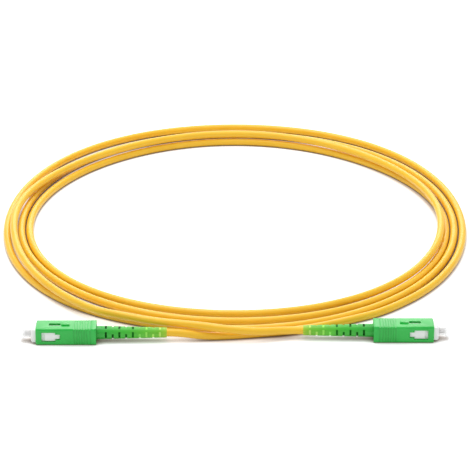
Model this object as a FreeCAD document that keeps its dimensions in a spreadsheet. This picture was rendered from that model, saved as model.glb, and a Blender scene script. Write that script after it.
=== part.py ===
"""Fiber optic patch cord: a yellow cable with a push-pull plug, boot and dust cap at each end.

The cable lies in a loose coil of four turns on a table, +Z up, and both plugs stand in front of it (-Y).
Each plug is drawn along its own X axis, with x = 0 at the front face of the outer housing and +x towards
the cable, and is then set down at its end of the cord. Millimetres throughout.
"""
import FreeCAD, Part
import math
import os

import Sketcher

Vector = FreeCAD.Vector

# Driving sizes, each written once
SIZES = {
    # cable
    "cord_diameter": 3.3,
    "buffer_diameter": 0.9,
    "jacket_gap": 0.05,
    # place of the two plugs
    "plug_spread": 165.0,
    "plug_stagger": 2.0,
    # outer housing
    "shell_length": 25.0,
    "shell_width": 9.0,
    "shell_height": 7.4,
    "shell_edge_radius": 0.8,
    "shell_side_wall": 0.95,
    "shell_top_wall": 0.8,
    "shell_mouth_chamfer": 0.3,
    "window_start": 2.4,
    "window_length": 5.8,
    "window_height": 4.2,
    "tongue_length": 1.9,
    "tongue_height": 2.5,
    "slot_start": 5.4,
    "slot_length": 4.8,
    "slot_width": 2.0,
    "key_gap": 0.3,
    "key_length": 3.5,
    "key_width": 2.0,
    "key_height": 0.5,
    "grip_start": 15.7,
    "grip_pitch": 1.05,
    "grip_groove": 0.5,
    "grip_depth": 0.25,
    "grip_count": 6,
    "collar_length": 2.2,
    "pull_travel": 1.2,
    # plug frame
    "slide_gap": 0.1,
    "frame_protrusion": 2.0,
    "frame_back_inset": 11.0,
    "frame_nose_chamfer": 0.5,
    "recess_radius": 2.3,
    "recess_depth": 3.3,
    "web_thickness": 1.0,
    "web_hole_radius": 1.45,
    "cavity_radius": 2.4,
    "lug_rise": 0.5,
    "lug_gap": 0.15,
    "lug_side_gap": 0.2,
    "frame_slot_width": 1.6,
    # ferrule and its flange
    "ferrule_diameter": 2.5,
    "ferrule_length": 10.5,
    "ferrule_projection": 2.9,
    "ferrule_tip_radius": 0.85,
    "ferrule_tip_length": 0.5,
    "ferrule_end_angle": 8.0,
    "float_travel": 1.0,
    "seat_gap": 0.05,
    "flange_radius": 2.1,
    "flange_length": 1.6,
    "flange_notch_width": 0.7,
    "flange_notch_depth": 0.4,
    "flange_sleeve_radius": 1.6,
    "flange_sleeve_overrun": 0.6,
    "stem_radius": 1.1,
    "stem_overlap": 0.5,
    "fibre_gap": 0.05,
    # spring
    "spring_wire": 0.4,
    "spring_gap": 0.12,
    "spring_turns": 6,
    # rear body, crimped cable
    "ring_nose_length": 4.0,
    "ring_flange_radius": 2.7,
    "ring_flange_length": 1.0,
    "ring_press_gap": 0.02,
    "barrel_radius": 1.95,
    "barrel_length": 5.5,
    "barrel_groove_pitch": 0.9,
    "barrel_groove_depth": 0.12,
    "ring_bore_gap": 0.2,
    "crimp_wall": 0.25,
    "crimp_gap": 0.03,
    "crimp_end_gap": 0.3,
    "crimp_shoulder": 0.5,
    "crimp_neck_length": 4.0,
    # boot
    "boot_length": 29.2,
    "boot_collar_cover": 7.5,
    "boot_collar_back": 1.5,
    "boot_root_radius": 2.8,
    "boot_tip_radius": 2.1,
    "boot_fit_gap": 0.05,
    "boot_first_slot": 4.0,
    "boot_slot_pitch": 2.8,
    "boot_slot_width": 0.8,
    "boot_rows": 5,
    "boot_four_half_angle": 28.0,
    "boot_pair_half_angle": 40.0,
    "boot_pair_angle": 50.0,
    # dust cap
    "cap_head_radius": 2.8,
    "cap_head_length": 1.8,
    "cap_neck_radius": 1.9,
    "cap_standoff": 3.0,
    "cap_grip_gap": 0.03,
    "cap_tip_air": 0.5,
    "cap_end_gap": 0.4,
    "cap_edge_chamfer": 0.25,
}

# The cable's loops, read from the photograph. A lane is a place across the bundle, 0 the innermost; the
# first and the last near lane only shape the quarters that lead from and to the tails.
LOOP_CENTRE_Y = 111.0
SIDE_INNER_REACH = 91.5
SIDE_LANE_AIR = 0.45
FAR_INNER_REACH = 94.0
FAR_LANE_PITCH = 8.75
NEAR_INNER_REACH = 90.8
NEAR_LANE_PITCH = 7.0
UPPER_FAR_LEAN = 1.0
LOOP_AIR = 0.5
RIGHT_CLIMB = 0.97
NEAR_LANES = (2.4, 2.0, 1.0, 0.0, 3.45)
RIGHT_LANES = (3.0, 2.0, 1.0, 0.4)
FAR_LANES = (2.0, 1.0, 0.0, 0.0)
LEFT_LANES = (3.1, 1.35, 0.35, 1.95)
LEAST_LOOP_GAP = 0.4

# How far, as a share, the middle of each quarter lies outside a plain ellipse, and how much steeper than
# its chord a climbing quarter is there
NEAR_RIGHT_FULLNESS = (0.032, 0.008, 0.018, 0.03)
FAR_RIGHT_FULLNESS = (0.02, 0.01, -0.02, -0.01)
FAR_LEFT_FULLNESS = (0.02, 0.008, -0.01, -0.03)
NEAR_LEFT_FULLNESS = (-0.02, -0.004, 0.006, 0.065)
CLIMB_STEEPNESS = 1.35

# Where the free tails meet the coil, and the points that they pass on the way to the plugs. The right
# tail's lifts are above the upper layer. The points were read with the boots' tips at the given x.
COIL_START = (50.0, 15.2)
COIL_END = (-50.0, 7.6)
TIP_X_AS_READ = 28.3
LEFT_LEAD_X = -23.5
LEFT_TAIL_WAY = ((-11.0, -0.9), (10.0, 2.0), (30.0, 6.0))
RIGHT_TAIL_WAY = ((-33.0, 3.9, 0.0), (-16.0, 0.9, 0.75), (-3.0, -2.6, 0.55), (10.0, -2.4, -0.75))
RIGHT_LEAD_X = 20.0
ROUND_SHARE = 0.45
GAP_STEP = 1.0
GAP_IGNORED_LENGTH = 40.0

doc = FreeCAD.newDocument("patch_cord")
sheet = doc.addObject("Spreadsheet::Sheet", "Sizes")
for row, (alias, value) in enumerate(SIZES.items(), start=1):
    sheet.set("A%d" % row, str(value))
    sheet.setAlias("A%d" % row, alias)
doc.recompute()

NODES = []


def size(name):
    """The expression that reads one driving size."""
    return "Sizes." + name


def number(expression):
    return float(sheet.evalExpression(expression))


def total(*terms):
    return "(" + " + ".join(terms) + ")"


def less(first, *others):
    return "(" + " - ".join((first,) + others) + ")"


# Places along the plug's axis, as expressions of the driving sizes
CORD_RADIUS = "(Sizes.cord_diameter / 2)"
BUFFER_RADIUS = "(Sizes.buffer_diameter / 2)"
FERRULE_RADIUS = "(Sizes.ferrule_diameter / 2)"
FRAME_FRONT = "(-Sizes.frame_protrusion)"
FRAME_BACK = less(size("shell_length"), size("frame_back_inset"))
FRAME_LENGTH = less(FRAME_BACK, FRAME_FRONT)
WEB_FRONT = total(FRAME_FRONT, size("recess_depth"))
FLANGE_SEAT = total(WEB_FRONT, size("web_thickness"))
FLANGE_FRONT = total(FLANGE_SEAT, size("seat_gap"))
FLANGE_BACK = total(FLANGE_FRONT, size("flange_length"))
FERRULE_TIP = less(FRAME_FRONT, size("ferrule_projection"))
FERRULE_BACK = total(FERRULE_TIP, size("ferrule_length"))
SLEEVE_BACK = total(FERRULE_BACK, size("flange_sleeve_overrun"))
RING_FRONT = less(FRAME_BACK, size("ring_nose_length"))
STEM_BACK = total(RING_FRONT, size("stem_overlap"))
RING_FLANGE_BACK = total(FRAME_BACK, size("ring_flange_length"))
BARREL_BACK = total(RING_FLANGE_BACK, size("barrel_length"))
JACKET_END = total(BARREL_BACK, size("crimp_shoulder"))
CRIMP_FRONT = total(RING_FLANGE_BACK, size("crimp_end_gap"))
CRIMP_BACK = total(JACKET_END, size("crimp_neck_length"))
CRIMP_BORE = total(size("barrel_radius"), size("crimp_gap"))
CRIMP_RADIUS = total(CRIMP_BORE, size("crimp_wall"))
NECK_BORE = total(CORD_RADIUS, size("jacket_gap"))
NECK_RADIUS = total(NECK_BORE, size("crimp_wall"))
COLLAR_FRONT = less(size("shell_length"), size("boot_collar_cover"))
COLLAR_BACK = less(size("shell_length"), size("boot_collar_back"))
BOOT_TIP = total(size("shell_length"), size("boot_length"))
SHELL_HALF_WIDTH = "(Sizes.shell_width / 2)"
SHELL_HALF_HEIGHT = "(Sizes.shell_height / 2)"
BORE_HALF_WIDTH = less(SHELL_HALF_WIDTH, size("shell_side_wall"))
BORE_HALF_HEIGHT = less(SHELL_HALF_HEIGHT, size("shell_top_wall"))
FRAME_HALF_WIDTH = less(BORE_HALF_WIDTH, size("slide_gap"))
FRAME_HALF_HEIGHT = less(BORE_HALF_HEIGHT, size("slide_gap"))
WINDOW_BACK = total(size("window_start"), size("window_length"))
LUG_FRONT = total(size("window_start"), size("pull_travel"), size("lug_gap"))
LUG_BACK = less(WINDOW_BACK, size("lug_side_gap"))
CAP_HEAD_BACK = less(FRAME_FRONT, size("cap_standoff"))
CAP_FRONT = less(CAP_HEAD_BACK, size("cap_head_length"))
CAP_BACK = less(WEB_FRONT, size("float_travel"), size("cap_end_gap"))


# Sketch helpers

def plane_of(body, role):
    return next(plane for plane in body.Origin.OriginFeatures if plane.Role == role)


def new_sketch(body, name, role, offset=None):
    sketch = body.newObject("Sketcher::SketchObject", name)
    sketch.AttachmentSupport = [(plane_of(body, role), "")]
    sketch.MapMode = "FlatFace"
    if offset is not None:
        sketch.setExpression("AttachmentOffset.Base.z", offset)
    return sketch


def pin_point(sketch, edge, x, y):
    """Holds the start of an edge at the place that two expressions give."""
    for kind, expression in (("DistanceX", x), ("DistanceY", y)):
        constraint = Sketcher.Constraint(kind, -1, 1, edge, 1, number(expression))
        index = sketch.addConstraint(constraint)
        sketch.setExpression("Constraints[%d]" % index, expression)


def add_outline(sketch, corners):
    """A closed outline of straight edges through corners given as pairs of expressions."""
    first = sketch.GeometryCount
    points = [Vector(number(x), number(y), 0) for x, y in corners]
    for start, end in zip(points, points[1:] + points[:1]):
        sketch.addGeometry(Part.LineSegment(start, end), False)
    for index in range(len(points)):
        following = first + (index + 1) % len(points)
        sketch.addConstraint(Sketcher.Constraint("Coincident", first + index, 2, following, 1))
    for index, (x, y) in enumerate(corners):
        pin_point(sketch, first + index, x, y)


def add_rectangle(sketch, x_low, x_high, y_low, y_high):
    add_outline(sketch, [(x_low, y_low), (x_high, y_low), (x_high, y_high), (x_low, y_high)])


def add_centred_rectangle(sketch, half_x, half_y):
    add_rectangle(sketch, "(-%s)" % half_x, half_x, "(-%s)" % half_y, half_y)


def add_circle(sketch, radius):
    """A circle about the sketch's origin."""
    index = sketch.addGeometry(Part.Circle(Vector(0, 0, 0), Vector(0, 0, 1), number(radius)), False)
    sketch.addConstraint(Sketcher.Constraint("Coincident", index, 3, -1, 1))
    constraint = sketch.addConstraint(Sketcher.Constraint("Radius", index, number(radius)))
    sketch.setExpression("Constraints[%d]" % constraint, radius)


# Feature helpers

def new_body(side, part_name):
    body = doc.addObject("PartDesign::Body", side + "_" + part_name)
    body.Label = side + "_" + part_name
    return body


def finish_feature(body, feature):
    body.Tip = feature
    doc.recompute()
    return feature


def pad(body, sketch, length, symmetric=False, back=False):
    feature = body.newObject("PartDesign::Pad", sketch.Name + "_pad")
    feature.Profile = sketch
    feature.setExpression("Length", length)
    feature.Midplane = symmetric
    feature.Reversed = back
    sketch.Visibility = False
    return finish_feature(body, feature)


def pocket(body, sketch, length, symmetric=False, back=False):
    """Cuts the sketch's shape out of the body, and makes sure that it cuts something."""
    before = body.Tip.Shape.Volume
    feature = body.newObject("PartDesign::Pocket", sketch.Name + "_pocket")
    feature.Profile = sketch
    feature.setExpression("Length", length)
    feature.Midplane = symmetric
    feature.Reversed = back
    finish_feature(body, feature)
    if not feature.Shape.Volume < before:
        raise RuntimeError(feature.Name + " cuts nothing")
    return feature


def revolve(body, sketch):
    feature = body.newObject("PartDesign::Revolution", sketch.Name + "_turned")
    feature.Profile = sketch
    feature.ReferenceAxis = (sketch, ["H_Axis"])
    feature.Angle = 360
    return finish_feature(body, feature)


def turned_body(side, part_name, profile):
    """A body turned about the plug's axis from (x, radius) corners."""
    body = new_body(side, part_name)
    sketch = new_sketch(body, side + "_" + part_name + "_profile", "XZ_Plane")
    add_outline(sketch, profile)
    revolve(body, sketch)
    return body


def repeat_along_x(body, feature, step, count):
    pattern = body.newObject("PartDesign::LinearPattern", feature.Name + "_row")
    pattern.Originals = [feature]
    pattern.Direction = (plane_of(body, "X_Axis"), [""])
    pattern.setExpression("Occurrences", count)
    pattern.setExpression("Length", "%s * (%s - 1)" % (step, count))
    return finish_feature(body, pattern)


def edges_along_x(shape):
    """Names of the straight edges that run along the X axis."""
    names = []
    for index, edge in enumerate(shape.Edges, start=1):
        if isinstance(edge.Curve, Part.Line) and abs(abs(edge.Curve.Direction.x) - 1) < 1e-6:
            names.append("Edge%d" % index)
    return names


def edges_at_x(shape, place):
    """Names of the edges that lie whole in the plane x = place."""
    names = []
    for index, edge in enumerate(shape.Edges, start=1):
        box = edge.BoundBox
        if abs(box.XMin - place) < 1e-6 and abs(box.XMax - place) < 1e-6:
            names.append("Edge%d" % index)
    return names


def dress(body, kind, edges, size_property, expression):
    """A fillet or chamfer on named edges of the body's last feature."""
    base = body.Tip
    feature = body.newObject("PartDesign::" + kind, body.Name + "_" + kind.lower())
    feature.Base = (base, edges)
    feature.setExpression(size_property, expression)
    return finish_feature(body, feature)


# The pieces of one plug; side is "left" or "right", turn is +1 or -1 for the boot's slots

def outer_housing(side):
    body = new_body(side, "outer_housing")
    name = side + "_housing_"
    block = new_sketch(body, name + "block", "YZ_Plane")
    add_centred_rectangle(block, SHELL_HALF_WIDTH, SHELL_HALF_HEIGHT)
    pad(body, block, size("shell_length"))
    dress(body, "Fillet", edges_along_x(body.Tip.Shape), "Radius", size("shell_edge_radius"))
    dress(body, "Chamfer", edges_at_x(body.Tip.Shape, 0.0), "Size", size("shell_mouth_chamfer"))

    bore = new_sketch(body, name + "bore", "YZ_Plane")
    add_centred_rectangle(bore, BORE_HALF_WIDTH, BORE_HALF_HEIGHT)
    pocket(body, bore, size("shell_length"), back=True)

    window = new_sketch(body, name + "window", "XZ_Plane")
    half = "(Sizes.window_height / 2)"
    tongue = "(Sizes.tongue_height / 2)"
    tongue_back = total(WINDOW_BACK, size("tongue_length"))
    add_outline(window, [
        (size("window_start"), "(-%s)" % half),
        (WINDOW_BACK, "(-%s)" % half),
        (WINDOW_BACK, "(-%s)" % tongue),
        (tongue_back, "(-%s)" % tongue),
        (tongue_back, tongue),
        (WINDOW_BACK, tongue),
        (WINDOW_BACK, half),
        (size("window_start"), half)])
    pocket(body, window, "Sizes.shell_width * 2", symmetric=True)

    slot = new_sketch(body, name + "slot", "XY_Plane")
    slot_back = total(size("slot_start"), size("slot_length"))
    add_rectangle(slot, size("slot_start"), slot_back, "(-Sizes.slot_width / 2)", "(Sizes.slot_width / 2)")
    pocket(body, slot, size("shell_height"), back=True)

    key = new_sketch(body, name + "key", "XY_Plane", less(SHELL_HALF_HEIGHT, "Sizes.shell_top_wall / 2"))
    key_front = total(slot_back, size("key_gap"))
    key_back = total(key_front, size("key_length"))
    add_rectangle(key, key_front, key_back, "(-Sizes.key_width / 2)", "(Sizes.key_width / 2)")
    pad(body, key, "Sizes.shell_top_wall / 2 + Sizes.key_height")

    groove = new_sketch(body, name + "grip_groove", "YZ_Plane", size("grip_start"))
    add_groove_ring(groove)
    cut = pocket(body, groove, size("grip_groove"), back=True)
    repeat_along_x(body, cut, size("grip_pitch"), size("grip_count"))

    collar = new_sketch(body, name + "collar_groove", "YZ_Plane",
                        less(size("shell_length"), size("collar_length"), size("grip_groove")))
    add_groove_ring(collar)
    pocket(body, collar, size("grip_groove"), back=True)
    return body


def add_groove_ring(sketch):
    """The frame-shaped section that a grip groove takes off the housing."""
    add_centred_rectangle(sketch, size("shell_width"), size("shell_height"))
    add_centred_rectangle(sketch, less(SHELL_HALF_WIDTH, size("grip_depth")),
                          less(SHELL_HALF_HEIGHT, size("grip_depth")))


def plug_frame(side):
    body = new_body(side, "plug_frame")
    name = side + "_frame_"
    block = new_sketch(body, name + "block", "YZ_Plane", FRAME_FRONT)
    add_centred_rectangle(block, FRAME_HALF_WIDTH, FRAME_HALF_HEIGHT)
    pad(body, block, FRAME_LENGTH)
    dress(body, "Chamfer", edges_at_x(body.Tip.Shape, number(FRAME_FRONT)), "Size", size("frame_nose_chamfer"))

    lug = new_sketch(body, name + "lug", "XZ_Plane")
    lug_half = "(Sizes.window_height / 2 - Sizes.lug_side_gap)"
    ridge_half = "(Sizes.tongue_height / 2 - Sizes.lug_side_gap)"
    ridge_back = less(total(WINDOW_BACK, size("tongue_length")), size("lug_side_gap"))
    add_outline(lug, [
        (LUG_FRONT, "(-%s)" % lug_half),
        (LUG_BACK, "(-%s)" % lug_half),
        (LUG_BACK, "(-%s)" % ridge_half),
        (ridge_back, "(-%s)" % ridge_half),
        (ridge_back, ridge_half),
        (LUG_BACK, ridge_half),
        (LUG_BACK, lug_half),
        (LUG_FRONT, lug_half)])
    pad(body, lug, "(%s + Sizes.lug_rise) * 2" % FRAME_HALF_WIDTH, symmetric=True)

    recess = new_sketch(body, name + "recess", "YZ_Plane", FRAME_FRONT)
    add_circle(recess, size("recess_radius"))
    pocket(body, recess, size("recess_depth"), back=True)

    hole = new_sketch(body, name + "web_hole", "YZ_Plane", FRAME_FRONT)
    add_circle(hole, size("web_hole_radius"))
    pocket(body, hole, FRAME_LENGTH, back=True)

    cavity = new_sketch(body, name + "cavity", "YZ_Plane", FLANGE_SEAT)
    add_circle(cavity, size("cavity_radius"))
    pocket(body, cavity, FRAME_LENGTH, back=True)

    top_slot = new_sketch(body, name + "top_slot", "XY_Plane")
    slot_back = total(size("slot_start"), size("slot_length"))
    add_rectangle(top_slot, size("slot_start"), slot_back,
                  "(-Sizes.frame_slot_width / 2)", "(Sizes.frame_slot_width / 2)")
    pocket(body, top_slot, size("shell_height"), back=True)
    return body


def ferrule(side):
    body = turned_body(side, "ferrule", [
        (FERRULE_TIP, "0"),
        (FERRULE_TIP, size("ferrule_tip_radius")),
        (total(FERRULE_TIP, size("ferrule_tip_length")), FERRULE_RADIUS),
        (FERRULE_BACK, FERRULE_RADIUS),
        (FERRULE_BACK, "0")])
    facet = new_sketch(body, side + "_ferrule_facet", "XZ_Plane")
    lean = "(Sizes.ferrule_tip_radius * tan(Sizes.ferrule_end_angle))"
    add_outline(facet, [
        (less(FERRULE_TIP, lean), "(-Sizes.ferrule_diameter)"),
        (less(FERRULE_TIP, lean), "(-Sizes.ferrule_tip_radius)"),
        (FERRULE_TIP, "(-Sizes.ferrule_tip_radius)"),
        (total(FERRULE_TIP, lean, lean), "Sizes.ferrule_tip_radius"),
        (total(FERRULE_TIP, lean, lean), "Sizes.ferrule_diameter"),
        (less(FERRULE_TIP, lean), "Sizes.ferrule_diameter")])
    pocket(body, facet, "Sizes.ferrule_diameter * 2", symmetric=True)
    return body


def ferrule_flange(side):
    bore = total(BUFFER_RADIUS, size("fibre_gap"))
    body = turned_body(side, "ferrule_flange", [
        (FLANGE_FRONT, FERRULE_RADIUS),
        (FLANGE_FRONT, size("flange_radius")),
        (FLANGE_BACK, size("flange_radius")),
        (FLANGE_BACK, size("flange_sleeve_radius")),
        (SLEEVE_BACK, size("flange_sleeve_radius")),
        (SLEEVE_BACK, size("stem_radius")),
        (STEM_BACK, size("stem_radius")),
        (STEM_BACK, bore),
        (FERRULE_BACK, bore),
        (FERRULE_BACK, FERRULE_RADIUS)])
    notch = new_sketch(body, side + "_flange_notch", "YZ_Plane", FLANGE_FRONT)
    add_rectangle(notch, "(-Sizes.flange_notch_width / 2)", "(Sizes.flange_notch_width / 2)",
                  less(size("flange_radius"), size("flange_notch_depth")), "Sizes.flange_radius * 2")
    cut = pocket(body, notch, size("flange_length"), back=True)
    pattern = body.newObject("PartDesign::PolarPattern", side + "_flange_notches")
    pattern.Originals = [cut]
    pattern.Axis = (plane_of(body, "X_Axis"), [""])
    pattern.Angle = 360
    pattern.Occurrences = 4
    finish_feature(body, pattern)
    return body


def stop_ring(side):
    """The metal rear body: nose in the plug frame, flange behind it, grooved barrel for the crimp."""
    bore = total(size("stem_radius"), size("ring_bore_gap"))
    nose = less(size("cavity_radius"), size("ring_press_gap"))
    profile = [
        (RING_FRONT, bore),
        (RING_FRONT, nose),
        (FRAME_BACK, nose),
        (FRAME_BACK, size("ring_flange_radius")),
        (RING_FLANGE_BACK, size("ring_flange_radius")),
        (RING_FLANGE_BACK, size("barrel_radius"))]
    grooves = int(number("floor((Sizes.barrel_length - Sizes.barrel_groove_pitch) / Sizes.barrel_groove_pitch)"))
    low = less(size("barrel_radius"), size("barrel_groove_depth"))
    for index in range(1, grooves + 1):
        start = total(RING_FLANGE_BACK, "Sizes.barrel_groove_pitch * %d" % index)
        end = total(start, "Sizes.barrel_groove_pitch / 2")
        profile += [(start, size("barrel_radius")), (start, low), (end, low), (end, size("barrel_radius"))]
    profile += [(BARREL_BACK, size("barrel_radius")), (BARREL_BACK, bore)]
    return turned_body(side, "stop_ring", profile)


def crimp_sleeve(side):
    step = total(BARREL_BACK, size("crimp_gap"))
    return turned_body(side, "crimp_sleeve", [
        (CRIMP_FRONT, CRIMP_BORE),
        (CRIMP_FRONT, CRIMP_RADIUS),
        (step, CRIMP_RADIUS),
        (total(JACKET_END, size("crimp_wall")), NECK_RADIUS),
        (CRIMP_BACK, NECK_RADIUS),
        (CRIMP_BACK, NECK_BORE),
        (JACKET_END, NECK_BORE),
        (step, CRIMP_BORE)])


def buffered_fibre(side):
    return turned_body(side, "buffered_fibre", [
        (FERRULE_BACK, "0"),
        (FERRULE_BACK, BUFFER_RADIUS),
        (JACKET_END, BUFFER_RADIUS),
        (JACKET_END, "0")])


def cable_entry(side):
    """The end of the cable that the crimp and the boot hold."""
    return turned_body(side, "cable_entry", [
        (JACKET_END, "0"),
        (JACKET_END, CORD_RADIUS),
        (BOOT_TIP, CORD_RADIUS),
        (BOOT_TIP, "0")])


def boot(side, turn):
    crimp_room = total(CRIMP_RADIUS, size("boot_fit_gap"))
    neck_room = total(NECK_RADIUS, size("boot_fit_gap"))
    room_end = total(CRIMP_BACK, size("boot_fit_gap"))
    step = total(JACKET_END, size("crimp_wall"), size("boot_fit_gap"))
    body = turned_body(side, "boot", [
        (COLLAR_FRONT, crimp_room),
        (COLLAR_FRONT, size("boot_root_radius")),
        (size("shell_length"), size("boot_root_radius")),
        (BOOT_TIP, size("boot_tip_radius")),
        (BOOT_TIP, NECK_BORE),
        (room_end, NECK_BORE),
        (room_end, neck_room),
        (step, neck_room),
        (step, crimp_room)])
    collar = new_sketch(body, side + "_boot_collar", "YZ_Plane", COLLAR_FRONT)
    add_centred_rectangle(collar, FRAME_HALF_WIDTH, FRAME_HALF_HEIGHT)
    add_circle(collar, "((%s + Sizes.boot_root_radius) / 2)" % crimp_room)
    pad(body, collar, less(COLLAR_BACK, COLLAR_FRONT))

    reach = "(Sizes.boot_root_radius * 2)"
    four = new_sketch(body, side + "_boot_four_slots", "YZ_Plane",
                      total(size("shell_length"), size("boot_first_slot")))
    for angle in (0, 90, 180, 270):
        add_wedge(four, "%d" % angle, size("boot_four_half_angle"), reach)
    cut = pocket(body, four, size("boot_slot_width"), symmetric=True)
    repeat_along_x(body, cut, "Sizes.boot_slot_pitch * 2", size("boot_rows"))

    pair = new_sketch(body, side + "_boot_pair_slots", "YZ_Plane",
                      total(size("shell_length"), size("boot_first_slot"), size("boot_slot_pitch")))
    for angle in (0, 180):
        facing = "(%d + %d * Sizes.boot_pair_angle)" % (angle, turn)
        add_wedge(pair, facing, size("boot_pair_half_angle"), reach)
    cut = pocket(body, pair, size("boot_slot_width"), symmetric=True)
    repeat_along_x(body, cut, "Sizes.boot_slot_pitch * 2", less(size("boot_rows"), "1"))
    return body


def add_wedge(sketch, angle, half_angle, reach):
    """A slot's section: a wedge that starts inside the boot's bore and ends outside its skin."""
    inner = "(Sizes.cord_diameter / 4)"
    corners = []
    for distance, side in ((inner, "-"), (reach, "-"), (reach, "+"), (inner, "+")):
        heading = "(%s %s %s)" % (angle, side, half_angle)
        corners.append(("%s * cos%s" % (distance, heading), "%s * sin%s" % (distance, heading)))
    add_outline(sketch, corners)


def dust_cap(side):
    bore = total(FERRULE_RADIUS, size("cap_grip_gap"))
    bore_end = less(FERRULE_TIP, size("cap_tip_air"))
    edge = size("cap_edge_chamfer")
    return turned_body(side, "dust_cap", [
        (CAP_FRONT, "0"),
        (CAP_FRONT, less(size("cap_head_radius"), edge)),
        (total(CAP_FRONT, edge), size("cap_head_radius")),
        (less(CAP_HEAD_BACK, edge), size("cap_head_radius")),
        (CAP_HEAD_BACK, less(size("cap_head_radius"), edge)),
        (CAP_HEAD_BACK, size("cap_neck_radius")),
        (CAP_BACK, size("cap_neck_radius")),
        (CAP_BACK, bore),
        (bore_end, bore),
        (bore_end, "0")])


# Wires of lines and arcs

def tangent_arc(start, heading, end):
    """The arc from start to end that leaves start along heading."""
    chord = end - start
    along = chord / chord.Length
    lean = heading.getAngle(along)
    if lean < 1e-6:
        return Part.LineSegment(start, end)
    outward = heading - along * heading.dot(along)
    outward.normalize()
    crown = (start + end) * 0.5 + outward * (chord.Length / 2 * math.tan(lean / 2))
    return Part.Arc(start, crown, end)


def biarc(start, heading, end, final_heading):
    """Two tangent arcs between two points with given headings."""
    chord = end - start
    both = heading + final_heading
    spread = 2 * (1 - heading.dot(final_heading))
    across = chord.dot(both)
    reach = (-across + math.sqrt(across ** 2 + spread * chord.dot(chord))) / spread
    middle = (start + end + (heading - final_heading) * reach) * 0.5
    second = tangent_arc(end, -final_heading, middle)
    return [tangent_arc(start, heading, middle), reversed_curve(second)]


def reversed_curve(curve):
    shape = curve.toShape()
    middle = shape.valueAt((shape.FirstParameter + shape.LastParameter) / 2)
    ends = [shape.valueAt(shape.LastParameter), shape.valueAt(shape.FirstParameter)]
    if isinstance(curve, Part.LineSegment):
        return Part.LineSegment(*ends)
    return Part.Arc(ends[0], middle, ends[1])


def rounded_route(name, points):
    """Straight runs joined by the largest tangent arcs that the runs allow."""
    runs = [(after - before).Length for before, after in zip(points, points[1:])]
    curves = []
    radii = []
    last = points[0]
    for index in range(1, len(points) - 1):
        arriving = points[index] - points[index - 1]
        leaving = points[index + 1] - points[index]
        arriving.normalize()
        leaving.normalize()
        setback = ROUND_SHARE * min(runs[index - 1], runs[index])
        start = points[index] - arriving * setback
        end = points[index] + leaving * setback
        curves.append(Part.LineSegment(last, start))
        curves.append(tangent_arc(start, arriving, end))
        radii.append(setback / math.tan(arriving.getAngle(leaving) / 2))
        last = end
    curves.append(Part.LineSegment(last, points[-1]))
    print(name, "arc radii", [round(radius, 1) for radius in radii])
    return curves


def swept_tube(name, curves, diameter):
    """One unbroken round tube along tangent curves, its volume checked against its length."""
    edges = [curve.toShape() for curve in curves]
    wire = Part.Wire(edges)
    start = edges[0].valueAt(edges[0].FirstParameter)
    heading = edges[0].tangentAt(edges[0].FirstParameter)
    section = Part.Wire([Part.Circle(start, heading, diameter / 2).toShape()])
    solid = wire.makePipeShell([section], True, False)
    expected = math.pi * (diameter / 2) ** 2 * wire.Length
    print(name, "length", round(wire.Length, 1), "volume against section times length",
          round(solid.Volume / expected, 5))
    feature = doc.addObject("Part::Feature", name)
    feature.Shape = solid
    feature.Label = name
    return feature


def spring(side):
    """A round-wire spring between the ferrule's flange and the stop ring."""
    wire = number(size("spring_wire"))
    turns = int(number(size("spring_turns")))
    radius = number(total(size("flange_sleeve_radius"), size("spring_gap"), "Sizes.spring_wire / 2"))
    clear = number(size("seat_gap"))
    first = number(FLANGE_BACK) + wire / 2 + clear
    last = number(RING_FRONT) - wire / 2 - clear
    quarters = turns * 4
    rise = (last - first) / quarters
    slope = rise / (radius * math.pi / 2)
    curves = []
    for index in range(quarters):
        ends = []
        for step in (index, index + 1):
            angle = step * math.pi / 2
            place = Vector(first + step * rise, radius * math.cos(angle), radius * math.sin(angle))
            heading = Vector(slope, -math.sin(angle), math.cos(angle))
            heading.normalize()
            ends += [place, heading]
        curves += biarc(*ends)
    return swept_tube(side + "_spring", curves, wire)


# The cable's loops

def quarter_middle(corner, next_corner, fullness):
    """The place and heading half way round the quarter between two corners of a loop."""
    outward = corner + next_corner
    outward.y -= 2 * LOOP_CENTRE_Y
    place = outward * (math.cos(math.pi / 4) * (1 + fullness))
    place.y += LOOP_CENTRE_Y
    place.z = (corner.z + next_corner.z) / 2
    heading = next_corner - corner
    heading.z *= CLIMB_STEEPNESS
    return place, heading.normalize()


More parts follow.
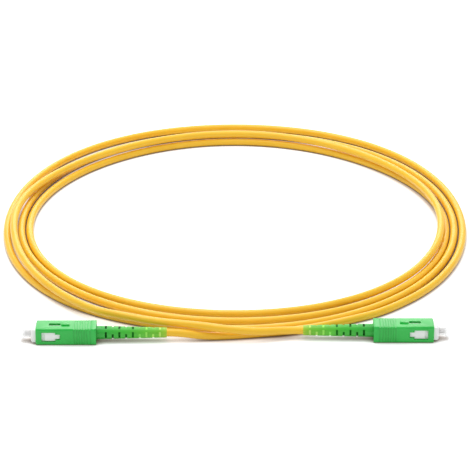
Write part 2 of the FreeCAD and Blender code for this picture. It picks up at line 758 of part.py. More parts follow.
def loop_stations(ground, upper, diameter):
    """Places and headings that the cable passes at each eighth of a turn, all the way round."""
    side_pitch = diameter + SIDE_LANE_AIR
    near_reaches = [NEAR_INNER_REACH + lane * NEAR_LANE_PITCH for lane in NEAR_LANES]
    last_turn = len(RIGHT_LANES) - 1
    corners = [Vector(0, LOOP_CENTRE_Y - near_reaches[0], ground)]
    fullness = []
    for turn, (right, far, left) in enumerate(zip(RIGHT_LANES, FAR_LANES, LEFT_LANES)):
        on_top = turn == last_turn
        height = upper if on_top else ground
        right_height = ground + RIGHT_CLIMB * (height - ground)
        far_reach = FAR_INNER_REACH + far * FAR_LANE_PITCH + (UPPER_FAR_LEAN if on_top else 0.0)
        corners += [
            Vector(SIDE_INNER_REACH + right * side_pitch, LOOP_CENTRE_Y, right_height),
            Vector(0, LOOP_CENTRE_Y + far_reach, height),
            Vector(-SIDE_INNER_REACH - left * side_pitch, LOOP_CENTRE_Y, height),
            Vector(0, LOOP_CENTRE_Y - near_reaches[turn + 1], height)]
        fullness += [
            NEAR_RIGHT_FULLNESS[turn],
            FAR_RIGHT_FULLNESS[turn],
            FAR_LEFT_FULLNESS[turn],
            NEAR_LEFT_FULLNESS[turn]]
    level_headings = [Vector(1, 0, 0), Vector(0, 1, 0), Vector(-1, 0, 0), Vector(0, -1, 0)]
    stations = [quarter_middle(corners[0], corners[1], fullness[0])]
    for index in range(1, len(fullness)):
        stations.append((corners[index], level_headings[index % 4]))
        stations.append(quarter_middle(corners[index], corners[index + 1], fullness[index]))
    return stations


def sampled(curves):
    points = []
    for curve in curves:
        edge = curve.toShape()
        count = max(2, int(edge.Length / GAP_STEP) + 1)
        points += edge.discretize(Number=count)[:-1]
    return points


def least_gap(points, diameter, ignored_length):
    """The least air between parts of the tube that lie further apart along it than a set length."""
    travelled = [0.0]
    for before, after in zip(points, points[1:]):
        travelled.append(travelled[-1] + (after - before).Length)
    cells = {}
    cell_size = 3 * diameter
    for index, point in enumerate(points):
        cell = tuple(int(math.floor(value / cell_size)) for value in (point.x, point.y))
        cells.setdefault(cell, []).append(index)
    least = cell_size
    for (column, line), members in cells.items():
        near = []
        for dx in (-1, 0, 1):
            for dy in (-1, 0, 1):
                near += cells.get((column + dx, line + dy), [])
        for index in members:
            for other in near:
                if travelled[other] - travelled[index] > ignored_length:
                    least = min(least, (points[other] - points[index]).Length)
    return least - diameter


def cable():
    """The coil of four turns and the two free tails that lead from it to the plugs."""
    diameter = number(size("cord_diameter"))
    ground = diameter / 2
    upper = ground + diameter + LOOP_AIR
    axis = number(SHELL_HALF_HEIGHT)
    tip_x = number("Sizes.plug_spread / 2 - %s" % BOOT_TIP)
    plug_y = number("Sizes.plug_stagger / 2")
    stretch = tip_x / TIP_X_AS_READ

    start = Vector(*COIL_START, ground)
    end = Vector(*COIL_END, upper)
    left_points = [
        Vector(-tip_x, -plug_y, axis),
        Vector(LEFT_LEAD_X * stretch, -plug_y, axis)]
    left_points += [Vector(x * stretch, y, ground) for x, y in LEFT_TAIL_WAY]
    left_points.append(start)
    right_points = [end]
    right_points += [Vector(x * stretch, y, upper + lift) for x, y, lift in RIGHT_TAIL_WAY]
    right_points += [
        Vector(RIGHT_LEAD_X * stretch, plug_y, axis),
        Vector(tip_x, plug_y, axis)]
    first_heading = (start - left_points[-2]).normalize()
    last_heading = (right_points[1] - end).normalize()

    first_loop = start + first_heading * diameter
    last_loop = end - last_heading * diameter
    stations = [(first_loop, first_heading)]
    stations += loop_stations(ground, upper, diameter)
    stations.append((last_loop, last_heading))
    loops = [Part.LineSegment(start, first_loop)]
    for (place, heading), (next_place, next_heading) in zip(stations, stations[1:]):
        loops += biarc(place, heading, next_place, next_heading)
    loops.append(Part.LineSegment(last_loop, end))

    left_curves = rounded_route("left_tail", left_points)
    right_curves = rounded_route("right_tail", right_points)
    gap = least_gap(sampled(loops), diameter, GAP_IGNORED_LENGTH)
    print("cable_coil least gap to itself", round(gap, 2), "asked", LEAST_LOOP_GAP)
    whole_gap = least_gap(sampled(left_curves + loops + right_curves), diameter, GAP_IGNORED_LENGTH)
    print("whole cable least gap to itself", round(whole_gap, 2))
    return [
        swept_tube("left_tail", left_curves, diameter),
        swept_tube("cable_coil", loops, diameter),
        swept_tube("right_tail", right_curves, diameter)]


def place_plug(pieces, toward):
    """Sets a plug's pieces at their end of the cord; toward is -1 for the left end and +1 for the right."""
    turned = FreeCAD.Rotation(Vector(0, 0, 1), 0 if toward < 0 else 180)
    for piece in pieces:
        piece.Placement = FreeCAD.Placement(Vector(0, 0, 0), turned)
        piece.setExpression("Placement.Base.x", "%d * Sizes.plug_spread / 2" % toward)
        piece.setExpression("Placement.Base.y", "%d * Sizes.plug_stagger / 2" % toward)
        piece.setExpression("Placement.Base.z", SHELL_HALF_HEIGHT)


def plug(side, toward):
    pieces = [
        outer_housing(side),
        plug_frame(side),
        ferrule(side),
        ferrule_flange(side),
        spring(side),
        stop_ring(side),
        crimp_sleeve(side),
        buffered_fibre(side),
        cable_entry(side),
        boot(side, -toward),
        dust_cap(side)]
    place_plug(pieces, toward)
    return pieces


NODES += plug("left", -1)
NODES += plug("right", 1)
NODES += cable()
doc.recompute()

for item in doc.Objects:
    if "Invalid" in item.State or "Error" in item.State:
        raise RuntimeError("%s failed: %s" % (item.Name, item.State))
for node in NODES:
    if node.Shape.isNull() or not node.Shape.isValid():
        raise RuntimeError(node.Label + " has no valid shape")

os.makedirs("parts", exist_ok=True)
for node in NODES:
    node.Shape.exportStep("parts/" + node.Label + ".step")
    print(node.Label, "solids", len(node.Shape.Solids), "volume", round(node.Shape.Volume, 2))
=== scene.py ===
import math

import bmesh
import bpy
from mathutils import Matrix, Vector


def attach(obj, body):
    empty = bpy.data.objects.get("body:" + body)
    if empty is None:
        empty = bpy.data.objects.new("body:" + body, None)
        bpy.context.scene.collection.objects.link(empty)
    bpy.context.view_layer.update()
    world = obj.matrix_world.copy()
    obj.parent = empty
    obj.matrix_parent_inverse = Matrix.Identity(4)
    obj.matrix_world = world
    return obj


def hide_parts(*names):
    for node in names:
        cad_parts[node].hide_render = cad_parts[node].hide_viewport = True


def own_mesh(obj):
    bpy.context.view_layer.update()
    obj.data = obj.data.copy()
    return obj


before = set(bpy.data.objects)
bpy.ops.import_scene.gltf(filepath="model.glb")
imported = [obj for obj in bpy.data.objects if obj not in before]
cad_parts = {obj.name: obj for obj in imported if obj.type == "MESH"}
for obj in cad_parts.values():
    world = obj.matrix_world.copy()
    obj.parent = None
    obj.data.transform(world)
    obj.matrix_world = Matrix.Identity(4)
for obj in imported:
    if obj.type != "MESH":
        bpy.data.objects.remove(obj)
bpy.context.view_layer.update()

# Sizes are written in millimetres; Blender and the frame work in metres.
MM = 0.001


# The cable: one round cord with a smooth yellow jacket, extruded in one piece. It leaves the left boot,
# passes under the other tail, makes four loose turns on the table and climbs over itself back to the
# right boot. Its spline follows nearly the same route as the CAD tube.

CABLE_DIAMETER = 3.3
ON_TABLE = CABLE_DIAMETER / 2
LAYER_GAP = 0.5
UPPER_LAYER = ON_TABLE + CABLE_DIAMETER + LAYER_GAP
RIGHT_CLIMB_SHARE = 0.97
RIGHT_CLIMB = ON_TABLE + RIGHT_CLIMB_SHARE * (UPPER_LAYER - ON_TABLE)
PLUG_AXIS_HEIGHT = 3.7
BOOT_TIP_X = 28.3
PLUG_Y = 1.0

LOOP_CENTRE_Y = 111.0
POINTS_PER_QUARTER = 6
POINTS_LEFT_TO_TAIL = POINTS_PER_QUARTER // 3
SIDE_REACH = 91.5
SIDE_GAP = 0.45
SIDE_LANE = CABLE_DIAMETER + SIDE_GAP
FAR_REACH = 94.0
FAR_LANE = 8.75
UPPER_FAR_LEAN = 1.0
NEAR_REACH = 90.8
NEAR_LANE = 7.0

# A lane is a place across the bundle, 0 the innermost; each turn changes lanes as it goes round. The
# first and last near lane only shape the quarters that lead from and to the tails.
NEAR_LANES = (2.4, 2.0, 1.0, 0.0, 3.45)
RIGHT_LANES = (3.0, 2.0, 1.0, 0.4)
FAR_LANES = (2.0, 1.0, 0.0, 0.0)
LEFT_LANES = (3.0, 1.35, 0.35, 2.2)

# How far, as a share, the middle of each quarter lies outside a plain ellipse.
NEAR_RIGHT_FULLNESS = (0.021, 0.007, 0.017, 0.033)
FAR_RIGHT_FULLNESS = (0.02, 0.01, -0.02, -0.022)
FAR_LEFT_FULLNESS = (0.02, 0.011, -0.01, -0.034)
NEAR_LEFT_FULLNESS = (0.030, 0.005, 0.012, 0.015)

NOISE_LOW = 0.3
NOISE_HIGH = 0.7


def quarter_points(corner, next_corner, fullness):
    """Control points of the quarter turn between two corners of a loop, set out so that the curve that
    they pull stays on it."""
    outset = 1 / math.cos(math.pi / 4 / POINTS_PER_QUARTER)
    points = []
    for step in range(POINTS_PER_QUARTER):
        share = (step + 0.5) / POINTS_PER_QUARTER
        angle = share * math.pi / 2
        swell = outset * (1 + fullness * math.sin(2 * angle) ** 2)
        place = (corner * math.cos(angle) + next_corner * math.sin(angle)) * swell
        smooth = share * share * (3 - 2 * share)
        height = corner.z + (next_corner.z - corner.z) * smooth
        points.append((place.x, LOOP_CENTRE_Y + place.y, height))
    return points


def coil_points():
    """The four turns, quarter by quarter, from the near right round by the far side. The tails take over
    for the first points and the last ones."""
    corners = [Vector((0.0, -NEAR_REACH - NEAR_LANES[0] * NEAR_LANE, ON_TABLE))]
    fullness = []
    last_turn = len(RIGHT_LANES) - 1
    for turn, (right, far, left) in enumerate(zip(RIGHT_LANES, FAR_LANES, LEFT_LANES)):
        upper = turn == last_turn
        height = UPPER_LAYER if upper else ON_TABLE
        right_height = RIGHT_CLIMB if upper else ON_TABLE
        far_reach = FAR_REACH + far * FAR_LANE + (UPPER_FAR_LEAN if upper else 0.0)
        corners += [
            Vector((SIDE_REACH + right * SIDE_LANE, 0.0, right_height)),
            Vector((0.0, far_reach, height)),
            Vector((-SIDE_REACH - left * SIDE_LANE, 0.0, height)),
            Vector((0.0, -NEAR_REACH - NEAR_LANES[turn + 1] * NEAR_LANE, height))]
        fullness += [NEAR_RIGHT_FULLNESS[turn], FAR_RIGHT_FULLNESS[turn], FAR_LEFT_FULLNESS[turn],
                     NEAR_LEFT_FULLNESS[turn]]
    points = []
    for corner, next_corner, swell in zip(corners, corners[1:], fullness):
        points += quarter_points(corner, next_corner, swell)
    return points[POINTS_LEFT_TO_TAIL:-POINTS_LEFT_TO_TAIL]


# The tails: from the left boot under the other one, and back over it to the right boot.
left_tail_points = [
    (-BOOT_TIP_X, -PLUG_Y, PLUG_AXIS_HEIGHT),
    (-23.5, -PLUG_Y, PLUG_AXIS_HEIGHT),
    (-11.0, -0.9, ON_TABLE),
    (10.0, 2.0, ON_TABLE),
    (30.0, 6.0, ON_TABLE),
    (50.0, 15.2, ON_TABLE)]
right_tail_points = [
    (-50.0, 12.2, UPPER_LAYER),
    (-33.0, 5.4, UPPER_LAYER),
    (-16.0, 0.9, UPPER_LAYER + 0.75),
    (-3.0, -2.6, UPPER_LAYER + 0.55),
    (10.0, -2.4, UPPER_LAYER - 0.75),
    (20.0, PLUG_Y, PLUG_AXIS_HEIGHT),
    (BOOT_TIP_X, PLUG_Y, PLUG_AXIS_HEIGHT)]


def spline_curve(name, points, diameter):
    """A round tube along an open spline; points in millimetres."""
    curve = bpy.data.curves.new(name, "CURVE")
    curve.dimensions = "3D"
    curve.bevel_depth = diameter / 2 * MM
    curve.bevel_resolution = 7
    curve.resolution_u = 6
    curve.use_fill_caps = True
    spline = curve.splines.new("NURBS")
    spline.points.add(len(points) - 1)
    for point, (x, y, z) in zip(spline.points, points):
        point.co = (x * MM, y * MM, z * MM, 1.0)
    spline.order_u = 3
    spline.use_endpoint_u = True
    spline.use_smooth = True
    piece = bpy.data.objects.new(name, curve)
    bpy.context.scene.collection.objects.link(piece)
    return piece


def new_material(name):
    """A node material; gives the material, its nodes, its links and its surface shader."""
    material = bpy.data.materials.new(name + "_finish")
    material.use_nodes = True
    nodes = material.node_tree.nodes
    return material, nodes, material.node_tree.links, nodes["Principled BSDF"]


def speckle(nodes, links, scale, stretch=(1.0, 1.0, 1.0)):
    """Noise laid on the piece's own coordinates; scale counts the noise's cells in a metre."""
    place = nodes.new("ShaderNodeTexCoord")
    mapping = nodes.new("ShaderNodeMapping")
    mapping.inputs["Scale"].default_value = stretch
    noise = nodes.new("ShaderNodeTexNoise")
    noise.inputs["Scale"].default_value = scale
    noise.inputs["Detail"].default_value = 2.0
    links.new(place.outputs["Object"], mapping.inputs["Vector"])
    links.new(mapping.outputs["Vector"], noise.inputs["Vector"])
    return noise.outputs["Fac"]


def tint(nodes, links, factor, shader, low, high):
    """Colours the shader between two tones by a factor; noise rarely leaves its middle range."""
    ramp = nodes.new("ShaderNodeValToRGB")
    ramp.color_ramp.elements[0].position = NOISE_LOW
    ramp.color_ramp.elements[0].color = (*low, 1.0)
    ramp.color_ramp.elements[1].position = NOISE_HIGH
    ramp.color_ramp.elements[1].color = (*high, 1.0)
    links.new(factor, ramp.inputs["Fac"])
    links.new(ramp.outputs["Color"], shader.inputs["Base Color"])


def relief(nodes, links, factor, shader, depth):
    """Raises the surface by a factor, depth in millimetres."""
    bump = nodes.new("ShaderNodeBump")
    bump.inputs["Distance"].default_value = depth * MM
    bump.inputs["Strength"].default_value = 1.0
    links.new(factor, bump.inputs["Height"])
    links.new(bump.outputs["Normal"], shader.inputs["Normal"])


def soft_inside(shader, weight, reach, depth):
    """Lets a share of the light in; reach says how far each colour goes, depth is in millimetres."""
    shader.inputs["Subsurface Weight"].default_value = weight
    shader.inputs["Subsurface Radius"].default_value = reach
    shader.inputs["Subsurface Scale"].default_value = depth * MM


def jacket_material():
    """Soft extruded plastic with a fine grain."""
    material, nodes, links, shader = new_material("yellow_jacket")
    patches = speckle(nodes, links, scale=60.0)
    tint(nodes, links, patches, shader, low=(0.91, 0.52, 0.012), high=(0.95, 0.56, 0.022))
    relief(nodes, links, speckle(nodes, links, scale=1500.0), shader, depth=0.012)
    shader.inputs["Roughness"].default_value = 0.38
    soft_inside(shader, weight=0.08, reach=(1.0, 0.55, 0.12), depth=0.6)
    return material


yellow_jacket = jacket_material()
cable = spline_curve("cable", left_tail_points + coil_points() + right_tail_points, CABLE_DIAMETER)
cable.data.materials.append(yellow_jacket)
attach(cable, "cord")
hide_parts("left_tail", "cable_coil", "right_tail")

for side in ("left", "right"):
    held_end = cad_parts[side + "_cable_entry"]
    held_end.data.materials.clear()
    held_end.data.materials.append(yellow_jacket)


# The boots: soft green strain reliefs, moulded in one piece with a square collar that the housing holds.
# Rows of four and of two slots let each one bend. An inner tube closes the slots of the stiffer half and
# is painted dark green, painted shade seen through those slots; a thin web closes the others and is
# painted bright yellow-green, a painted glow of light shining through.

SLOT_PITCH = 2.8
CELLS_PER_PITCH = 14
BOOT_CELL = SLOT_PITCH / CELLS_PER_PITCH
BOOT_CELLS = 154
CELLS_TO_FIRST_SLOT = 28
CELLS_AROUND = 72
FIRST_SLOT_X = 29.0
SHELL_BACK = 25.0
BOOT_START = FIRST_SLOT_X - CELLS_TO_FIRST_SLOT * BOOT_CELL
BOOT_END = BOOT_START + BOOT_CELLS * BOOT_CELL
BOOT_WALL = 0.75
BOOT_ROOT_RADIUS = 2.8
BOOT_TIP_RADIUS = 2.1
BOOT_EDGE = 0.06
BOOT_SHARP_ANGLE = math.radians(50.0)
SLOT_WIDTH = 0.8
FOUR_HALF_ANGLE = math.radians(28.0)
PAIR_HALF_ANGLE = math.radians(50.0)
PAIR_ANGLE = math.radians(38.0)
MIDDLE_ROW = 4.0
HALF_THE_ROWS = 4.5
SEAM_DISTANCE = 0.001
COLLAR_START = 17.5
COLLAR_END = 23.5
COLLAR_HALF_WIDTH = 3.45
COLLAR_HALF_HEIGHT = 2.8
COLLAR_BORE = 2.3
LINER_START = 23.4
LINER_END = 41.0
LINER_RADIUS = 2.06
LINER_BORE = 1.75
WEB_START_RADIUS = 2.2
WEB_END_RADIUS = 1.88
WEB_BORE = 1.67
PAINTED_SLOT_INDEX = 1
UNEVENNESS = 0.25
PLUG_SPREAD = 165.0


def in_place(side):
    """Takes plug coordinates, x from the housing's mouth towards the cable, to the plug's place."""
    toward = -1 if side == "left" else 1
    turn = Matrix.Rotation(0.0 if side == "left" else math.pi, 4, "Z")
    place = Vector((toward * PLUG_SPREAD / 2, toward * PLUG_Y, PLUG_AXIS_HEIGHT)) * MM
    return Matrix.Translation(place) @ turn


def reckon(tree, operation, *values):
    """One step of arithmetic in a node tree, on sockets or plain numbers."""
    node = tree.nodes.new("ShaderNodeMath")
    node.operation = operation
    for socket, value in zip(node.inputs, values):
        if isinstance(value, (int, float)):
            socket.default_value = value
        else:
            tree.links.new(value, socket)
    return node.outputs["Value"]


def boot_skin_tree(material):
    """A tapered tube rolled up from a grid, with the slots left out of it."""
    tree = bpy.data.node_groups.new("boot skin", "GeometryNodeTree")
    tree.interface.new_socket("Skin", in_out="OUTPUT", socket_type="NodeSocketGeometry")
    for name in ("Length", "Straight", "Root Radius", "Tip Radius", "Slot Pitch", "First Slot",
                 "Slot Width", "Four Half Angle", "Pair Half Angle", "Pair Angle"):
        tree.interface.new_socket(name, in_out="INPUT", socket_type="NodeSocketFloat")
    given = tree.nodes.new("NodeGroupInput").outputs

    # a flat grid: along the boot, and once round it
    grid = tree.nodes.new("GeometryNodeMeshGrid")
    grid.inputs["Size Y"].default_value = 2 * math.pi
    grid.inputs["Vertices X"].default_value = BOOT_CELLS + 1
    grid.inputs["Vertices Y"].default_value = CELLS_AROUND + 1
    tree.links.new(given["Length"], grid.inputs["Size X"])
    position = tree.nodes.new("GeometryNodeInputPosition")
    place = tree.nodes.new("ShaderNodeSeparateXYZ")
    tree.links.new(position.outputs["Position"], place.inputs["Vector"])
    along = reckon(tree, "ADD", place.outputs["X"], reckon(tree, "MULTIPLY", given["Length"], 0.5))
    angle = place.outputs["Y"]

    # its cells in a slot's width, in one of the rows, and within a slot's arc
    past_first = reckon(tree, "SUBTRACT", along, given["First Slot"])
    row = reckon(tree, "ROUND", reckon(tree, "DIVIDE", past_first, given["Slot Pitch"]))
    off_row = reckon(tree, "SUBTRACT", past_first, reckon(tree, "MULTIPLY", row, given["Slot Pitch"]))
    half_width = reckon(tree, "MULTIPLY", given["Slot Width"], 0.5)
    in_slot = reckon(tree, "LESS_THAN", reckon(tree, "ABSOLUTE", off_row), half_width)
    from_middle = reckon(tree, "ABSOLUTE", reckon(tree, "SUBTRACT", row, MIDDLE_ROW))
    in_rows = reckon(tree, "LESS_THAN", from_middle, HALF_THE_ROWS)
    odd = reckon(tree, "FLOORED_MODULO", row, 2.0)
    half_period = reckon(tree, "MULTIPLY", reckon(tree, "ADD", odd, 1.0), math.pi / 4)
    turned = reckon(tree, "SUBTRACT", angle, reckon(tree, "MULTIPLY", odd, given["Pair Angle"]))
    around = reckon(tree, "WRAP", turned, half_period, reckon(tree, "MULTIPLY", half_period, -1.0))
    wider = reckon(tree, "SUBTRACT", given["Pair Half Angle"], given["Four Half Angle"])
    half_angle = reckon(tree, "ADD", given["Four Half Angle"], reckon(tree, "MULTIPLY", odd, wider))
    in_arc = reckon(tree, "LESS_THAN", reckon(tree, "ABSOLUTE", around), half_angle)
    open_here = reckon(tree, "MULTIPLY", in_slot, reckon(tree, "MULTIPLY", in_rows, in_arc))

    slots = tree.nodes.new("GeometryNodeDeleteGeometry")
    slots.domain = "FACE"
    tree.links.new(grid.outputs["Mesh"], slots.inputs["Geometry"])
    tree.links.new(reckon(tree, "GREATER_THAN", open_here, 0.5), slots.inputs["Selection"])

    # rolled up: straight inside the housing, then a cone
    past_straight = reckon(tree, "SUBTRACT", along, given["Straight"])
    cone_length = reckon(tree, "SUBTRACT", given["Length"], given["Straight"])
    share = reckon(tree, "MAXIMUM", reckon(tree, "DIVIDE", past_straight, cone_length), 0.0)
    narrowing = reckon(tree, "SUBTRACT", given["Tip Radius"], given["Root Radius"])
    radius = reckon(tree, "ADD", given["Root Radius"], reckon(tree, "MULTIPLY", narrowing, share))
    rolled = tree.nodes.new("ShaderNodeCombineXYZ")
    tree.links.new(along, rolled.inputs["X"])
    tree.links.new(reckon(tree, "MULTIPLY", radius, reckon(tree, "COSINE", angle)), rolled.inputs["Y"])
    tree.links.new(reckon(tree, "MULTIPLY", radius, reckon(tree, "SINE", angle)), rolled.inputs["Z"])
    roll = tree.nodes.new("GeometryNodeSetPosition")
    tree.links.new(slots.outputs["Geometry"], roll.inputs["Geometry"])
    tree.links.new(rolled.outputs["Vector"], roll.inputs["Position"])

    seam = tree.nodes.new("GeometryNodeMergeByDistance")
    seam.inputs["Distance"].default_value = SEAM_DISTANCE * MM
    smooth = tree.nodes.new("GeometryNodeSetShadeSmooth")
    realize = tree.nodes.new("GeometryNodeRealizeInstances")
    painted = tree.nodes.new("GeometryNodeSetMaterial")
    painted.inputs["Material"].default_value = material
    output = tree.nodes.new("NodeGroupOutput")
    tree.links.new(roll.outputs["Geometry"], seam.inputs["Geometry"])
    tree.links.new(seam.outputs["Geometry"], smooth.inputs["Geometry"])
    tree.links.new(smooth.outputs["Geometry"], realize.inputs["Geometry"])
    tree.links.new(realize.outputs["Geometry"], painted.inputs["Geometry"])
    tree.links.new(painted.outputs["Geometry"], output.inputs["Skin"])
    return tree


def grown_mesh(name, tree, sizes, material):
    """The plain mesh that a node tree makes with these sizes."""
    holder = bpy.data.objects.new(name + "_holder", bpy.data.meshes.new(name + "_holder"))
    bpy.context.scene.collection.objects.link(holder)
    grow = holder.modifiers.new("grow", "NODES")
    grow.node_group = tree
    for socket in tree.interface.items_tree:
        if socket.in_out == "INPUT":
            grow[socket.identifier] = sizes[socket.name]
    evaluated = holder.evaluated_get(bpy.context.evaluated_depsgraph_get())
    mesh = bpy.data.meshes.new_from_object(evaluated)
    bpy.data.objects.remove(holder)
    mesh.polygons.foreach_set("material_index", [0] * len(mesh.polygons))
    mesh.materials.clear()
    mesh.materials.append(material)
    return mesh


def add_sleeve(shape, start, end, start_outline, end_outline, bore):
    """A closed sleeve along the plug's axis. Outlines give the outer radius at an angle."""
    loops = []
    for x, outline in ((start, start_outline), (end, end_outline), (end, None), (start, None)):
        loop = []
        for step in range(CELLS_AROUND):
            angle = 2 * math.pi * step / CELLS_AROUND
            radius = outline(angle) if outline else bore
            place = Vector((x, radius * math.cos(angle), radius * math.sin(angle))) * MM
            loop.append(shape.verts.new(place))
        loops.append(loop)
    for loop, following in zip(loops, loops[1:] + loops[:1]):
        for step in range(CELLS_AROUND):
            after = (step + 1) % CELLS_AROUND
            face = shape.faces.new((loop[step], loop[after], following[after], following[step]))
            face.smooth = True


def collar_outline(angle):
    """A rectangle as seen from its middle: the boot's collar fills the housing's bore."""
    along = max(abs(math.cos(angle)) / COLLAR_HALF_WIDTH, abs(math.sin(angle)) / COLLAR_HALF_HEIGHT)
    return 1 / along


def round_of(radius):
    """A circle's outline: the same radius at every angle."""
    return lambda angle: radius


def boot_material(name, tones, shine):
    """A finish that changes along the cone: places from the housing, 0, to the tip, 1, with their tones.
    Tones that turn yellower toward the tip are painted glow of the cable shining through the thin tip."""
    material, nodes, links, shader = new_material(name)
    place = nodes.new("ShaderNodeTexCoord")
    split = nodes.new("ShaderNodeSeparateXYZ")
    links.new(place.outputs["Object"], split.inputs["Vector"])
    distance = nodes.new("ShaderNodeMath")
    distance.operation = "ABSOLUTE"
    links.new(split.outputs["X"], distance.inputs[0])
    toward_tip = nodes.new("ShaderNodeMapRange")
    toward_tip.inputs["From Min"].default_value = (BOOT_TIP_X + BOOT_END - SHELL_BACK) * MM
    toward_tip.inputs["From Max"].default_value = BOOT_TIP_X * MM
    links.new(distance.outputs["Value"], toward_tip.inputs["Value"])
    ramp = nodes.new("ShaderNodeValToRGB")
    while len(ramp.color_ramp.elements) < len(tones):
        ramp.color_ramp.elements.new(1.0)
    for element, (position, tone) in zip(ramp.color_ramp.elements, tones):
        element.position = position
        element.color = (*tone, 1.0)
    links.new(toward_tip.outputs["Result"], ramp.inputs["Fac"])
    uneven = nodes.new("ShaderNodeMix")
    uneven.data_type = "RGBA"
    uneven.blend_type = "MULTIPLY"
    uneven.inputs["Factor"].default_value = UNEVENNESS
    links.new(ramp.outputs["Color"], uneven.inputs["A"])
    links.new(speckle(nodes, links, scale=300.0), uneven.inputs["B"])
    links.new(uneven.outputs["Result"], shader.inputs["Base Color"])
    relief(nodes, links, speckle(nodes, links, scale=2500.0), shader, depth=0.015)
    shader.inputs["Roughness"].default_value = 0.42
    shader.inputs["Specular IOR Level"].default_value = shine
    soft_inside(shader, weight=0.2, reach=(0.5, 1.0, 0.3), depth=0.6)
    return material


# Darker near the housing; the paler, yellower tones toward the tip are painted glow of the yellow cable
# shining through the thin wall.
green_boot = boot_material("green_boot", (
    (0.0, (0.012, 0.47, 0.040)),
    (0.45, (0.055, 0.58, 0.030)),
    (0.88, (0.190, 0.62, 0.022)),
    (1.0, (0.420, 0.68, 0.022))), shine=0.5)
# Painted shade and glow for the slots: dark green is painted shade deep in the slots near the housing,
# and bright yellow-green toward the tip is painted glow of the cable shining through.
painted_slot_shade_and_glow = boot_material("painted_slot_shade_and_glow", (
    (0.0, (0.002, 0.12, 0.006)),
    (0.53, (0.006, 0.22, 0.010)),
    (0.59, (0.30, 0.98, 0.16)),
    (1.0, (0.80, 1.0, 0.24))), shine=0.1)
boot_tree = boot_skin_tree(green_boot)


def slotted_wall(side):
    """The boot's skin with its slots, thickened inwards; the slots' sides get the painted slot shade and
    glow: painted dark shade near the housing, painted glow toward the tip.
    """
    skin = grown_mesh(side + "_boot_skin", boot_tree, {
        "Length": (BOOT_END - BOOT_START) * MM,
        "Straight": (SHELL_BACK - BOOT_START) * MM,
        "Root Radius": BOOT_ROOT_RADIUS * MM,
        "Tip Radius": BOOT_TIP_RADIUS * MM,
        "Slot Pitch": SLOT_PITCH * MM,
        "First Slot": (FIRST_SLOT_X - BOOT_START) * MM,
        "Slot Width": SLOT_WIDTH * MM,
        "Four Half Angle": FOUR_HALF_ANGLE,
        "Pair Half Angle": PAIR_HALF_ANGLE,
        "Pair Angle": PAIR_ANGLE if side == "left" else -PAIR_ANGLE}, green_boot)
    skin.materials.append(painted_slot_shade_and_glow)
    skin.transform(Matrix.Translation((BOOT_START * MM, 0.0, 0.0)))
    first = skin.polygons[0]
    if first.normal.dot(Vector((0.0, first.center.y, first.center.z))) < 0:
        skin.flip_normals()
    boot = bpy.data.objects.new(side + "_boot_skin", skin)
    bpy.context.scene.collection.objects.link(boot)
    wall = boot.modifiers.new("wall", "SOLIDIFY")
    wall.thickness = BOOT_WALL * MM
    wall.offset = -1.0
    # the slots' sides get the painted slot shade and glow
    wall.material_offset_rim = PAINTED_SLOT_INDEX
    walled = bpy.data.meshes.new_from_object(boot.evaluated_get(bpy.context.evaluated_depsgraph_get()))
    bpy.data.objects.remove(boot)
    return walled


def inner_sleeves(side):
    """The collar, and the tube and the web that close the slots from inside. The tube and web carry the
    painted slot shade and glow.
    """
    shape = bmesh.new()
    add_sleeve(shape, COLLAR_START, COLLAR_END, collar_outline, collar_outline, COLLAR_BORE)
    collar_faces = len(shape.faces)
    add_sleeve(shape, LINER_START, LINER_END, round_of(LINER_RADIUS), round_of(LINER_RADIUS), LINER_BORE)
    add_sleeve(shape, LINER_END, BOOT_END, round_of(WEB_START_RADIUS), round_of(WEB_END_RADIUS), WEB_BORE)
    shape.faces.ensure_lookup_table()
    # the tube and the web get the painted slot shade and glow
    for face in shape.faces[collar_faces:]:
        face.material_index = PAINTED_SLOT_INDEX
    bmesh.ops.recalc_face_normals(shape, faces=shape.faces)
    mesh = bpy.data.meshes.new(side + "_boot_inner")
    shape.to_mesh(mesh)
    shape.free()
    return mesh


for side in ("left", "right"):
    boot_mesh = slotted_wall(side)
    shape = bmesh.new()
    shape.from_mesh(boot_mesh)
    shape.from_mesh(inner_sleeves(side))
    shape.to_mesh(boot_mesh)
    shape.free()
    boot_mesh.transform(in_place(side))
    boot = bpy.data.objects.new(side + "_boot_dressed", boot_mesh)
    bpy.context.scene.collection.objects.link(boot)
    edges = boot.modifiers.new("soft edges", "BEVEL")
    edges.width = BOOT_EDGE * MM
    edges.segments = 2
    edges.limit_method = "ANGLE"
    edges.angle_limit = BOOT_SHARP_ANGLE
    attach(boot, "cord")
    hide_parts(side + "_boot")


# The outer housings: green push-pull shells, moulded in a glossy, slightly milky plastic. Each has a
# T-shaped window on both sides, a slot and a key on top and fine grip grooves at the back. A dressed
# copy of each CAD piece gets softly rounded edges.

WELD_DISTANCE = 0.002
QUAD_CORNERS = 4
FLAT_ANGLE = math.radians(0.5)
SHARP_ANGLE = math.radians(35.0)
BODY_OF = {
    "outer_housing": "{}_grip",
    "ferrule": "{}_ferrule_set",
    "ferrule_flange": "{}_ferrule_set",
    "dust_cap": "{}_cap"}


